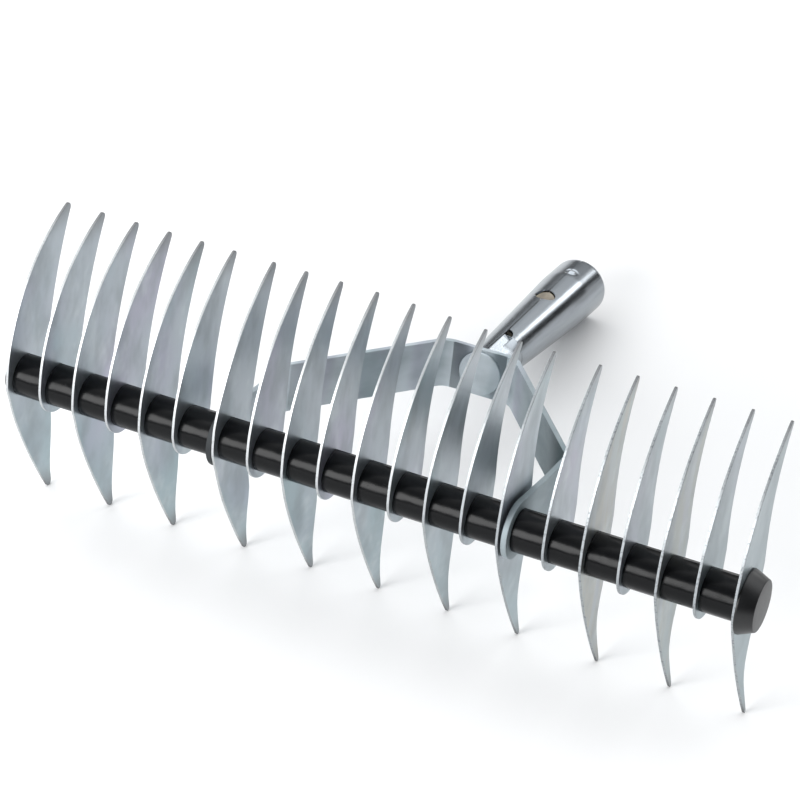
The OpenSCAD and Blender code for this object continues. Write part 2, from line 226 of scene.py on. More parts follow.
class Finish(bpy.types.PropertyGroup):
    """Colours of the finishes"""

    zinc: colour("Zinc", (0.43, 0.475, 0.51), "Plain zinc plating")
    lilac: colour("Lilac tint", (0.44, 0.43, 0.52), "Lilac tint of the passivated zinc")
    # Teal also colours the painted shade on the blades' lower halves and on the right of the row, on the bow's
    # right arm and deep in the socket.
    teal: colour("Teal tint", (0.33, 0.425, 0.45), "Teal tint of the passivated zinc")
    straw: colour("Straw tint", (0.42, 0.415, 0.375), "Straw tint of the passivated zinc")
    pale: colour("Pale patch", (0.58, 0.63, 0.64), "Pale patches of the plating")
    worn: colour("Worn point", (0.20, 0.20, 0.205), "Dull metal at the points of the blades")
    cut: colour("Cut edge", (0.56, 0.58, 0.59), "Bright cut edges of the sheet")
    socket: colour("Socket zinc", (0.37, 0.40, 0.43), "Brighter zinc plating of the socket")
    bow: colour("Bow zinc", (0.58, 0.635, 0.67), "Zinc plating of the bow and its rivet")
    inside: colour("Socket inside", (0.66, 0.60, 0.50), "Straw-coloured inside of the socket")
    steel: colour("Bright steel", (0.46, 0.47, 0.48), "Axle, nut, washer and bushes")
    # Near-black colour on the left eye near the axle.
    left_eye_dark: colour("Dark left eye", (0.012, 0.012, 0.013), "Near-black colour on the left eye near the axle")
    black: colour("Black plastic", (0.0036, 0.0040, 0.0047), "Spacers and caps")
    scuff: colour("Scuffed plastic", (0.020, 0.021, 0.023), "Scuffs on the spacers")
    cap: colour("Grey plastic", (0.009, 0.010, 0.011), "Greyer flow marks on the caps")
    floor: colour("Floor", (0.93, 0.93, 0.93), "Pale floor")
    dome: colour("Dome", (0.97, 0.985, 1.0), "Light of the studio's dome")


class StageSizes(bpy.types.PropertyGroup):
    """Camera and floor"""

    azimuth: angle("Azimuth", 26.47, "Camera's turn to the right of the front")
    elevation: angle("Elevation", 38.91, "Camera's height angle")
    roll: angle("Roll", -0.52, "Camera's tilt to one side")
    distance: length("Distance", 1.497, "Distance from the camera to the point that it looks at")
    aim: FloatVectorProperty(name="Aim", description="Point that the camera looks at",
                             default=(-0.0301, -0.0340, 0.0514), subtype="TRANSLATION",
                             unit="LENGTH")
    lens: FloatProperty(name="Lens", description="Focal length in millimetres", default=135.05)
    floor_half: length("Half floor", 9.0, "Half the side of the floor")


# Materials: an expression on wires adds the Math nodes that it needs


class Wire:
    """An output of a node, which takes Python's arithmetic."""

    def __init__(self, paint, socket):
        self.paint = paint
        self.socket = socket

    def math(self, operation, first, second):
        """The output of a new Math node."""
        return self.paint.node("ShaderNodeMath", {"operation": operation}, {0: first, 1: second})

    def __add__(self, other):
        return self.math("ADD", self, other)

    def __radd__(self, other):
        return self.math("ADD", other, self)

    def __sub__(self, other):
        return self.math("SUBTRACT", self, other)

    def __rsub__(self, other):
        return self.math("SUBTRACT", other, self)

    def __mul__(self, other):
        return self.math("MULTIPLY", self, other)

    def __rmul__(self, other):
        return self.math("MULTIPLY", other, self)

    def __truediv__(self, other):
        return self.math("DIVIDE", self, other)

    def __rtruediv__(self, other):
        return self.math("DIVIDE", other, self)


class Paint:
    """A material, or the world, whose nodes are made by one method."""

    def __init__(self, name, library=None):
        self.owner = (bpy.data.materials if library is None else library).new(name)
        self.owner.use_nodes = True
        self.tree = self.owner.node_tree
        self.tree.nodes.clear()
        self.place = self.node("ShaderNodeTexCoord", {}, {}, "Object")

    def node(self, kind, settings, inputs, output=0):
        """Adds a node with its settings, sets or links its inputs and gives one of its outputs."""
        made = self.tree.nodes.new(kind)
        for key, value in settings.items():
            setattr(made, key, value)
        for key, value in inputs.items():
            if isinstance(value, Wire):
                self.tree.links.new(value.socket, made.inputs[key])
            else:
                made.inputs[key].default_value = value
        return Wire(self, made.outputs[output]) if len(made.outputs) else None

    def along(self, axis):
        """One coordinate of the standing rake: 0 along the row, 1 to the back, 2 up."""
        return self.node("ShaderNodeSeparateXYZ", {}, {0: self.place}, axis)

    def stretched(self, scale, shift=(0.0, 0.0, 0.0)):
        """Object coordinates turned along the leaning head and stretched."""
        upright = self.node("ShaderNodeMapping", {"vector_type": "POINT"},
                            {"Vector": self.place, "Rotation": (LEAN, 0.0, 0.0)})
        return self.node("ShaderNodeMapping", {"vector_type": "POINT"},
                         {"Vector": upright, "Location": shift, "Scale": scale})

    def noise(self, scale, shift=(0.0, 0.0, 0.0), detail=2.0, rough=0.5):
        """Noise with so many waves to a metre along each axis of the drawing."""
        place = self.stretched(scale, shift)
        return self.node("ShaderNodeTexNoise", {}, {
            "Vector": place, "Scale": 1.0, "Detail": detail, "Roughness": rough})

    def ramp(self, value, low, high):
        """0 below low, 1 above high, and smooth between them."""
        return self.node("ShaderNodeMapRange", {"interpolation_type": "SMOOTHSTEP"},
                         {"Value": value, "From Min": low, "From Max": high})

    def blend(self, amount, first, second):
        """First colour where amount is 0, second where it is 1."""
        rgba = [c if isinstance(c, Wire) else (*c, 1.0) for c in (first, second)]
        return self.node("ShaderNodeMix", {"data_type": "RGBA"},
                         {0: amount, 6: rgba[0], 7: rgba[1]}, output=2)

    def bump(self, height, strength, depth):
        """A normal from a height that goes up to a depth in metres."""
        return self.node("ShaderNodeBump", {},
                         {"Height": height, "Strength": strength, "Distance": depth})

    def surface(self, **sockets):
        """Closes the material with a Principled shader, whose sockets have _ for a space here."""
        inputs = {name.replace("_", " "): value for name, value in sockets.items()}
        shader = self.node("ShaderNodeBsdfPrincipled", {}, inputs)
        self.node("ShaderNodeOutputMaterial", {}, {"Surface": shader})
        return self.owner


def darker(value, factor):
    """A colour times a factor."""
    return tuple(c * factor for c in value)


def zinc_tints(paint, finish, base, strength):
    """Cloudy passivation tints over zinc, which change from blade to blade."""
    lilac = paint.noise((70, 16, 10), (3.1, 0.4, 1.7))
    teal = paint.noise((64, 20, 13), (9.2, 5.3, 0.2))
    tinted = paint.blend(paint.ramp(lilac, 0.46, 0.70) * strength, base, finish.lilac)
    return paint.blend(paint.ramp(teal, 0.50, 0.74) * strength, tinted, finish.teal)


def drawn(paint, axis):
    """One coordinate of the drawing: 0 along the axle, 1 to the handle, 2 up."""
    place = paint.stretched((1.0, 1.0, 1.0), -(Matrix.Rotation(LEAN, 3, "X") @ AXLE))
    return paint.node("ShaderNodeSeparateXYZ", {}, {0: place}, axis)


def worn_points(paint, sizes):
    """1 at the upper and lower points of the blades and 0 away from them."""
    rise = drawn(paint, 2)
    upper, lower = (paint.ramp(way, reach - sizes.wear_start, reach + sizes.wear_full)
                    for way, reach in ((rise, sizes.upper_reach), (0.0 - rise, sizes.lower_reach)))
    return upper + lower


def blade_zinc(finish, sizes):
    """Satin zinc on the flat of a blade: clouds, rolling grain, straw streaks, dull points and painted shade."""
    paint = Paint("blade_zinc")
    grain = paint.noise((90, 620, 26), detail=3.0, rough=0.6)
    cloud = paint.noise((60, 56, 32), (1.3, 7.7, 4.1), 3.0, 0.55)
    smear = paint.noise((58, 150, 16), (6.1, 2.2, 8.4))
    patch = paint.noise((66, 60, 44), (8.8, 2.9, 6.3), 3.0, 0.6)
    side = paint.along(0)
    # Painted shade: the lower halves are darker and tealer, as if they mirrored the shaded floor under the row.
    low = 1.0 - paint.ramp(paint.along(2), 0.25 * AXLE.z, 1.1 * AXLE.z)
    body = zinc_tints(paint, finish, finish.zinc, 1.0)
    body = paint.blend(low * (0.45 + cloud * 0.4), body, finish.teal)
    straw = 0.40 + paint.ramp(smear, 0.40, 0.62) * 0.60
    half_pitch = 0.008
    for node in STRAW_BLADES:
        left, right = (corner.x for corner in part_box(node))
        here = paint.node("ShaderNodeMath", {"operation": "COMPARE"},
                          {0: side, 1: (left + right) / 2, 2: half_pitch})
        body = paint.blend(here * straw, body, finish.straw)
    body = paint.blend(paint.ramp(patch, 0.50, 0.72) * 0.45, body, finish.pale)
    body = paint.blend(paint.ramp(cloud, 0.40, 0.70) * 0.60, body, darker(finish.zinc, 0.62))
    body = paint.blend(paint.ramp(grain, 0.55, 0.80) * 0.12, body, darker(finish.cut, 0.75))
    # Painted shade: the blades towards the right of the row are darker.
    body = paint.blend(paint.ramp(side, 0.08, 0.19) * 0.50, body, darker(finish.teal, 0.72))
    body = paint.blend(worn_points(paint, sizes) * 0.70, body, finish.worn)
    return paint.surface(Base_Color=body, Roughness=0.25 + cloud * 0.10 + grain * 0.04,
                         Metallic=0.85, Normal=paint.bump(grain, 0.04, 0.0002))


def cut_edge(finish, sizes):
    """Sheared edge of the sheet with the fine marks of the shear, darker towards the right of the row."""
    paint = Paint("cut_edge")
    marks = paint.noise((700, 1000, 1000))
    side = paint.along(0)
    pits = paint.ramp(marks, 0.50, 0.66) * (0.15 + paint.ramp(side, 0.05, 0.12) * 0.35)
    # Darker towards the right of the row.
    body = paint.blend(paint.ramp(side, -0.02, 0.07) * 0.60, finish.cut, darker(finish.zinc, 0.65))
    body = paint.blend(pits, body, darker(finish.zinc, 0.22))
    body = paint.blend(worn_points(paint, sizes) * 0.85, body, darker(finish.worn, 0.6))
    return paint.surface(Base_Color=body, Roughness=0.36 + marks * 0.16, Metallic=1.0,
                         Normal=paint.bump(marks, 0.15, 0.0001))


def bow_zinc(finish):
    """Zinc on the strip: rolling grain, painted shade on the right arm and near-black on the left eye."""
    paint = Paint("bow_zinc")
    grain = paint.noise((60, 60, 800), detail=3.0, rough=0.6)
    cloud = paint.noise((32, 32, 60), (4.4, 1.1, 0.6), 3.0, 0.55)
    side = paint.along(0)
    right_arm_shade = paint.ramp(side, 0.012, 0.030)
    left_arm = 1.0 - paint.ramp(side, -0.060, -0.050)
    near_axle = 1.0 - paint.ramp(drawn(paint, 1), 0.012, 0.030)
    body = zinc_tints(paint, finish, finish.bow, 0.6)
    body = paint.blend(paint.ramp(cloud, 0.40, 0.75) * 0.35, body, darker(finish.teal, 0.6))
    # Painted shade: the right arm is darker, as if it mirrored the shaded floor under the head.
    body = paint.blend(right_arm_shade * 0.5, body, darker(finish.teal, 0.5))
    # Near-black on the left eye near the axle.
    body = paint.blend(left_arm * near_axle * 0.92, body, finish.left_eye_dark)
    return paint.surface(Base_Color=body, Roughness=0.56 + cloud * 0.12 + grain * 0.05,
                         Metallic=0.85, Normal=paint.bump(grain, 0.08, 0.0002))


def socket_zinc(finish, sizes):
    """Brighter zinc on the rolled socket: draw marks along it and a painted dark reflection on its right."""
    paint = Paint("socket_zinc")
    draw = paint.noise((900, 14, 900), detail=3.0, rough=0.6)
    cloud = paint.noise((50, 22, 50), (2.7, 3.9, 5.5), 3.0, 0.55)
    streaks = paint.noise((420, 18, 420), (1.9, 6.4, 3.3), 3.0, 0.6)
    radius = paint.node("ShaderNodeMapRange", {}, {
        "Value": drawn(paint, 1),
        "From Min": MOUTH_Y - sizes.long, "From Max": MOUTH_Y - sizes.mouth,
        "To Min": sizes.base_radius, "To Max": sizes.mouth_radius})
    across = (drawn(paint, 0) - HANDLE_X) / radius
    # Painted reflection: a dark, streaked band down the right flank of the socket.
    painted_reflection_band = paint.ramp(across, 0.60, 0.74) * (1.0 - paint.ramp(across, 0.80, 1.0) * 0.75)
    dark = painted_reflection_band * (0.45 + paint.ramp(streaks, 0.35, 0.65) * 0.5)
    dull = paint.ramp(cloud, 0.42, 0.76) * 0.40
    body = paint.blend(dull, finish.socket, darker(finish.zinc, 0.72))
    body = paint.blend(paint.ramp(draw, 0.56, 0.80) * 0.22, body, darker(finish.cut, 0.95))
    body = paint.blend(dark, body, darker(finish.socket, 0.22))
    return paint.surface(Base_Color=body, Roughness=0.16 + cloud * 0.08 + draw * 0.07, Metallic=1.0,
                         Normal=paint.bump(draw, 0.16, 0.00015))


def socket_inside(finish):
    """Straw-coloured, duller zinc inside the socket, with painted shade where it goes deep."""
    paint = Paint("socket_inside")
    cloud = paint.noise((80, 40, 80), (5.7, 0.9, 2.5), 3.0, 0.55)
    near_mouth = paint.ramp(paint.along(1), 0.060, 0.090)
    body = paint.blend(paint.ramp(cloud, 0.35, 0.75), finish.inside, darker(finish.inside, 0.55))
    # Painted shade: near black deep inside, fading out towards the mouth.
    body = paint.blend(near_mouth, darker(finish.teal, 0.08), body)
    return paint.surface(Base_Color=body, Roughness=0.42 + cloud * 0.2, Metallic=0.85)


def bright_steel(finish):
    """Turned bright steel of the hidden axle, nut, washer and bushes."""
    paint = Paint("bright_steel")
    rings = paint.noise((1500, 60, 60))
    body = paint.blend(paint.ramp(rings, 0.4, 0.7) * 0.5, finish.steel, darker(finish.steel, 0.7))
    return paint.surface(Base_Color=body, Roughness=0.28 + rings * 0.1, Metallic=1.0)


def black_gloss(finish):
    """Glossy moulded black plastic of the spacers, with faint waves, flow marks and scuffs."""
    paint = Paint("black_gloss")
    flow = paint.noise((140, 26, 26), detail=3.0, rough=0.55)
    skin = paint.noise((1300, 1300, 1300), (0.3, 0.7, 0.1))
    waves = paint.noise((130, 170, 170), (2.6, 8.3, 0.9), 1.0, 0.4)
    scuff = paint.ramp(paint.noise((220, 380, 380), (7.1, 3.3, 5.2), 4.0, 0.7), 0.66, 0.78)
    body = paint.blend(scuff * 0.35, finish.black, finish.scuff)
    return paint.surface(Base_Color=body, Roughness=0.17 + flow * 0.10 + scuff * 0.16,
                         Specular_IOR_Level=0.15,
                         Normal=paint.bump(waves + skin * 0.02, 0.16, 0.0012))


def black_satin(finish):
    """Satin black plastic of the end caps."""
    paint = Paint("black_satin")
    skin = paint.noise((900, 900, 900))
    flow = paint.noise((60, 60, 60), (2.2, 4.4, 1.1))
    body = paint.blend(paint.ramp(flow, 0.4, 0.8) * 0.5, finish.black, finish.cap)
    return paint.surface(Base_Color=body, Roughness=0.26 + flow * 0.14 + skin * 0.05,
                         Specular_IOR_Level=0.50, Normal=paint.bump(skin, 0.06, 0.0001))


def pale_floor(finish):
    """Plain pale floor."""
    paint = Paint("pale_floor")
    return paint.surface(Base_Color=(*finish.floor, 1.0), Roughness=0.9, Specular_IOR_Level=0.1)


def look(name, make):
    """The named material, made once."""
    return bpy.data.materials.get(name) or make()


# Mesh helpers


def point(bm, x, y, z):
    """A new vertex."""
    return bm.verts.new((x, y, z))


def once(things):
    """Each thing once, in the order in which it first comes."""
    return list(dict.fromkeys(things))


def swing(bm, vert, centre, angle, steps):
    """Runs an arc from a vertex round a centre, across the axle, and gives its last vertex."""
    done = bmesh.ops.spin(bm, geom=[vert], cent=centre, axis=(1, 0, 0), angle=angle, steps=steps)
    return next(g for g in done["geom_last"] if isinstance(g, bmesh.types.BMVert))


def arc_steps(radius, angle, error=0.00002, least=6):
    """Steps that keep an arc's chords within an error of it."""
    return max(least, math.ceil(abs(angle) / (2 * math.acos(1 - error / radius))))


def turned(bm, outline, centre, axis, steps):
    """Spins a closed outline of a few corners once round an axis into a closed solid."""
    verts = [bm.verts.new(p) for p in outline]
    edges = [bm.edges.new((verts[i - 1], verts[i])) for i in range(len(verts))]
    bmesh.ops.spin(bm, geom=verts + edges, cent=centre, axis=axis, angle=TURN, steps=steps,
                   use_merge=True)
    bmesh.ops.remove_doubles(bm, verts=bm.verts[:], dist=TOUCH)
    bmesh.ops.dissolve_degenerate(bm, dist=TOUCH / 10, edges=bm.edges[:])
    bmesh.ops.recalc_face_normals(bm, faces=bm.faces[:])


def bored(bm, x, radius, steps):
    """Draws a hole round the axle and fills the sheet between it and the outline that is there."""
    across = Matrix.Translation((x, 0, 0)) @ Matrix.Rotation(QUARTER, 4, "Y")
    bmesh.ops.create_circle(bm, segments=steps, radius=radius, matrix=across)
    bmesh.ops.triangle_fill(bm, use_beauty=True, edges=bm.edges[:])


def pushed(bm, faces, way):
    """Extrudes faces along a straight way and gives the new vertices and the new end faces."""
    grown = bmesh.ops.extrude_face_region(bm, geom=faces)["geom"]
    moved = [g for g in grown if isinstance(g, bmesh.types.BMVert)]
    bmesh.ops.translate(bm, verts=moved, vec=way)
    return moved, [g for g in grown if isinstance(g, bmesh.types.BMFace)]


def bevelled(bm, edges, width, segments):
    """Bevels edges."""
    bmesh.ops.bevel(bm, geom=edges, offset=width, offset_type="OFFSET", affect="EDGES",
                    segments=segments, profile=0.5, material=-1, clamp_overlap=True)


def bevel_sharp(bm, width, segments, limit, keep=None):
    """Bevels the edges that are sharper than a limit, in degrees, and that a test keeps."""
    edges = [e for e in bm.edges if len(e.link_faces) == 2
             and e.calc_face_angle() > math.radians(limit) and (keep is None or keep(e))]
    bevelled(bm, edges, width, segments)


def finished(bm, name, materials, body, node, flats=False):
    """Stands the mesh up, makes it an object, ties it to its body and hides its node's solid."""
    bm.transform(STAND)
    for face in bm.faces:
        face.smooth = True
    mesh = bpy.data.meshes.new(name)
    bm.to_mesh(mesh)
    bm.free()
    for material in materials:
        mesh.materials.append(material)
    mesh.set_sharp_from_angle(angle=SHARP)
    piece = bpy.data.objects.new(name, mesh)
    bpy.context.scene.collection.objects.link(piece)
    if flats:
        even = piece.modifiers.new("even_flats", "WEIGHTED_NORMAL")
        even.weight = FLAT_WEIGHT
        even.keep_sharp = True
    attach(piece, body)
    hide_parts(node)
    return piece


def tangent_centre(p0, r0, p1, r1, side):
    """Point at distance r0 from p0 and r1 from p1, to one side of the way between them."""
    way = p1 - p0
    along = (way.length_squared + r0 * r0 - r1 * r1) / (2 * way.length)
    unit = way.normalized()
    across = math.sqrt(r0 * r0 - along * along)
    return p0 + along * unit + side * across * Vector((-unit.y, unit.x))


def eased(share):
    """Rises smoothly from 0 to 1 as the share does, and stays 0 before and 1 after."""
    share = min(1.0, max(0.0, share))
    return share * share * (3 - 2 * share)


def bearing(v):
    """Angle of a vector, from 0 to a whole turn."""
    return math.atan2(v.y, v.x) % TURN


class BladeArcs:
    """The arcs that bound a blade, each as centre, radius, first and last bearing."""

    def __init__(self, s):
        hub = Vector((0.0, 0.0))
        upper = Vector((s.upper_back, s.upper_reach))
        lower = Vector((s.lower_back, -s.lower_reach))
        front = tangent_centre(hub, s.front_upper - s.hub_radius,
                               upper, s.front_upper - s.tip_radius, -1)
        under = tangent_centre(hub, s.front_lower - s.hub_radius,
                               lower, s.front_lower - s.tip_radius, 1)
        rear = tangent_centre(upper, s.rear + s.tip_radius, lower, s.rear + s.tip_radius, 1)
        heel, heel_radius = self.heel(s, front, rear)
        top = (upper, s.tip_radius, bearing(rear - upper) - TURN, bearing(upper - front))
        self.long = [
            top,
            (front, s.front_upper, bearing(upper - front), bearing(hub - front)),
            (hub, s.hub_radius, bearing(hub - front), bearing(hub - under)),
            (under, s.front_lower, bearing(hub - under), bearing(lower - under)),
            (lower, s.tip_radius, bearing(lower - under), bearing(rear - lower) + TURN),
            (rear, s.rear, bearing(lower - rear), bearing(upper - rear)),
        ]
        heel_end = math.atan2(rear.y - heel.y, rear.x - heel.x) + TURN
        self.short = [
            top,
            (front, s.front_upper, bearing(upper - front), bearing(heel - front)),
            (heel, heel_radius, bearing(heel - front), heel_end),
            (rear, s.rear, bearing(heel - rear), bearing(upper - rear)),
        ]

    @staticmethod
    def heel(s, front, rear):
        """Centre and radius of the round end that runs tangent into front and rear edge."""
        total = s.front_upper + s.rear
        k0 = total / 2 + (front.dot(front) - rear.dot(rear)
                          + 2 * s.heel_up * (rear.y - front.y)) / (2 * total)
        k1 = (rear.x - front.x) / total
        p = front.x + k0 * k1
        q = front.x ** 2 + (s.heel_up - front.y) ** 2 - k0 ** 2
        centre = Vector(((p - math.sqrt(p * p - (1 - k1 * k1) * q)) / (1 - k1 * k1), s.heel_up))
        return centre, s.front_upper - (centre - front).length


class RAKE_OT_blades(bpy.types.Operator):
    """Builds the long and short crescent blades"""

    bl_idname = "rake.blades"
    bl_label = "Blades"

    bore_steps = 32
    # Cosine from which a face belongs to the flat of a blade and not to its cut edge
    flat_face = 0.98
    # How the sideways bend of an upper half grows towards its point
    bend_power = 1.5
    # Part of a lower half over which its width shrinks, and beside the left eye its twist sets in
    ground_over = 0.7
    twist_over = 0.45

    def execute(self, context):
        sizes = context.scene.rake_blades
        stack = context.scene.rake_stack
        finish = context.scene.rake_finish
        arcs = BladeArcs(sizes)
        looks = [look("blade_zinc", lambda: blade_zinc(finish, sizes)),
                 look("cut_edge", lambda: cut_edge(finish, sizes))]
        for i, node in enumerate(BLADES):
            left, right, _ = span(node)
            long = "long" in node
            along = i / (len(BLADES) - 1)
            bm = self.plate(sizes, arcs.long if long else arcs.short, left, right)
            up = self.upper_stance(stack, i, along)
            down = self.lower_stance(stack, along) if long else (0.0, 0.0, 0.0, 0.0)
            self.lean_over(bm, sizes, arcs, up, down, node == BESIDE_LEFT_EYE)
            finished(bm, f"{node}_plate", looks, ROW_BODY, node, flats=True)
        return {"FINISHED"}

    def plate(self, sizes, outline, left, right):
        """A sheet with the outline's arcs, a bore and bevelled edges."""
        bm = bmesh.new()
        centre, radius, start, _ = outline[0]
        vert = point(bm, left, centre.x + radius * math.cos(start),
                     centre.y + radius * math.sin(start))
        for centre, radius, start, end in outline:
            vert = swing(bm, vert, (left, centre.x, centre.y), end - start,
                         arc_steps(radius, end - start))
        bmesh.ops.remove_doubles(bm, verts=bm.verts[:], dist=2 * TOUCH)
        bored(bm, left, sizes.bore, self.bore_steps)
        self.cut_level(bm, sizes)
        pushed(bm, bm.faces[:], (right - left, 0, 0))
        bmesh.ops.recalc_face_normals(bm, faces=bm.faces[:])
        near_bore = sizes.bore * 1.5
        bevel_sharp(bm, sizes.edge, segments=2, limit=60,
                    keep=lambda e: all(math.hypot(v.co.y, v.co.z) > near_bore for v in e.verts))
        for face in bm.faces:
            face.material_index = 0 if abs(face.normal.x) > self.flat_face else 1
        return bm

    @staticmethod
    def cut_level(bm, sizes):
        """Cuts the sheet into level strips and leaves no other edges inside it."""
        first = math.ceil(-sizes.lower_reach / sizes.cut_step)
        last = math.floor(sizes.upper_reach / sizes.cut_step)
        for k in range(first, last + 1):
            bmesh.ops.bisect_plane(bm, geom=bm.verts[:] + bm.edges[:] + bm.faces[:], dist=2 * TOUCH,
                                   plane_co=(0, 0, k * sizes.cut_step), plane_no=(0, 0, 1))
        level = {e for e in bm.edges if abs(e.verts[0].co.z - e.verts[1].co.z) < TOUCH}
        bmesh.ops.dissolve_edges(
            bm, edges=[e for e in bm.edges if len(e.link_faces) == 2 and e not in level],
            use_verts=False)
        bmesh.ops.dissolve_verts(
            bm, verts=[v for v in bm.verts if len(v.link_edges) == 2 and not v.is_boundary])

    @staticmethod
    def upper_stance(s, i, along):
        """An upper half's lean to the right and forward, its twist and the part ground away."""
        sway = s.sway_mean + s.sway * math.cos(TURN * (i - s.sway_first) / s.sway_blades)
        side = sway * (1 - eased((along - s.sway_end) / s.sway_fade))
        change = eased((along - s.lean_start) / s.lean_change)
        front = (s.lean_front + s.lean_back) * change - s.lean_back
        return side, front, s.upper_twist * eased((along - s.twist_start) / s.twist_rise), 0.0

    @staticmethod
    def lower_stance(s, along):
        """The same for a long blade's lower half."""
        side = s.spread_mean + s.spread * (2 * along - 1) ** 2
        front = s.sweep_mean + s.sweep * math.cos(TURN * along / s.sweep_rows)
        twist = s.lower_twist * (1 - eased((along - s.untwist_start) / s.untwist_fade))
        return side, front, twist, s.ground_left + (s.ground_right - s.ground_left) * along

    def lean_over(self, bm, sizes, arcs, up, down, beside_eye):
        """Bends and twists the halves of a blade, as a used stack stands, outside the clamped hub.

        Beside the left eye a blade doesn't lean to the left, its upper half twists about its rear
        edge, and its lower half twists further out, so that both stay clear of the bow when the row
        swings.
        """
        under, under_radius = arcs.long[3][:2]
        rear, rear_radius = arcs.long[5][:2]
        for vert in bm.verts:
            above = vert.co.z > 0
            side, front, twist, ground = up if above else down
            if beside_eye:
                side = max(0.0, side)
            reach = sizes.upper_reach if above else sizes.lower_reach
            tip_back = sizes.upper_back if above else sizes.lower_back
            middle = -sizes.spine + (tip_back + sizes.spine) * (vert.co.z / reach) ** 2
            if above and beside_eye:
                middle = rear.x - math.sqrt(rear_radius ** 2 - (vert.co.z - rear.y) ** 2)
            out = max(0.0, (abs(vert.co.z) - sizes.clamp) / (reach - sizes.clamp))
            turn = twist * (out * (2 - out) if above else 4 * out * max(0.0, 1 - out))
            if beside_eye and not above:
                turn *= eased(out / self.twist_over)
            bend = side * (out ** self.bend_power if above else out)
            vert.co.x += bend + math.tan(turn) * (middle - vert.co.y)
            if ground:
                edge = under.x - math.sqrt(under_radius ** 2 - (vert.co.z - under.y) ** 2)
                left_over = 1 - ground * eased(out / self.ground_over)
                vert.co.y = edge + (vert.co.y - edge) * left_over
            vert.co.y -= front * out
            vert.co.z -= front * out * math.tan(LEAN)


class RAKE_OT_spacers(bpy.types.Operator):
    """Builds the spacers between the blades, each with its mould seams"""

    bl_idname = "rake.spacers"
    bl_label = "Spacers"

    # Turns of the upper and the lower seam from the back, as parts of the upper one's
    seam_sides = (1.0, -1.6)
    # Turn of the wave that shifts the seams, from one spacer to the next
    seam_beat = 2.3
    # Bevel of a seam, as a part of its height
    seam_bevel = 0.6

    def execute(self, context):
        sizes = context.scene.rake_spacers
        looks = [look("black_gloss", lambda: black_gloss(context.scene.rake_finish))]
        for i, node in enumerate(SPACERS):
            left, right, radius = span(node)
            c = sizes.chamfer
            bm = bmesh.new()
            corners = [(left, sizes.bore), (left, radius - c), (left + c, radius),
                       (right - c, radius), (right, radius - c), (right, sizes.bore)]
            turned(bm, [(x, 0.0, r) for x, r in corners], (0, 0, 0), (1, 0, 0), sizes.steps)
            for k, side in enumerate(self.seam_sides):
                turn = sizes.seam_turn + sizes.seam_sway * math.sin(self.seam_beat * i + k)
                self.seam(bm, sizes, left + c, right - c, radius, turn * side)
            finished(bm, f"{node}_tube", looks, ROW_BODY, node)
        return {"FINISHED"}

    def seam(self, bm, sizes, left, right, radius, turn):
        """A thin raised line along a spacer, where the two halves of its mould met."""
        middle = (left + right) / 2
        shape = Matrix.Rotation(turn - QUARTER, 4, "X") @ Matrix.Translation((middle, 0, radius))
        shape = shape @ Matrix.Diagonal((right - left, sizes.seam_wide, 2 * sizes.seam_high, 1.0))
        bar = bmesh.ops.create_cube(bm, size=1.0, matrix=shape)
        edges = once(e for v in bar["verts"] for e in v.link_edges)
        bevelled(bm, edges, sizes.seam_high * self.seam_bevel, segments=1)


class RAKE_OT_caps(bpy.types.Operator):
    """Builds the deep cap over the nut and the flat cap at the other end of the axle"""

    bl_idname = "rake.caps"
    bl_label = "End caps"

    def execute(self, context):
        sizes = context.scene.rake_spacers
        looks = [look("black_satin", lambda: black_satin(context.scene.rake_finish))]
        left, right, radius = span("end_cap_right")
        self.cap("end_cap_right", looks, sizes, [
            (left, 0.0), (left, radius), (left + sizes.cap_rim, radius), (right, sizes.cap_face),
            (right, 0.0)])
        left, right, radius = span("end_cap_left")
        self.cap("end_cap_left", looks, sizes, [
            (right, 0.0), (right, radius), (left, radius), (left, 0.0)])
        return {"FINISHED"}

    @staticmethod
    def cap(node, looks, sizes, corners):
        """A turned cap whose outline has these corners, each along the axle and out from it."""
        bm = bmesh.new()
        turned(bm, [(x, 0.0, r) for x, r in corners], (0, 0, 0), (1, 0, 0), sizes.steps)
        bevel_sharp(bm, sizes.cap_round, segments=4, limit=20)
        finished(bm, f"{node}_moulding", looks, ROW_BODY, node)


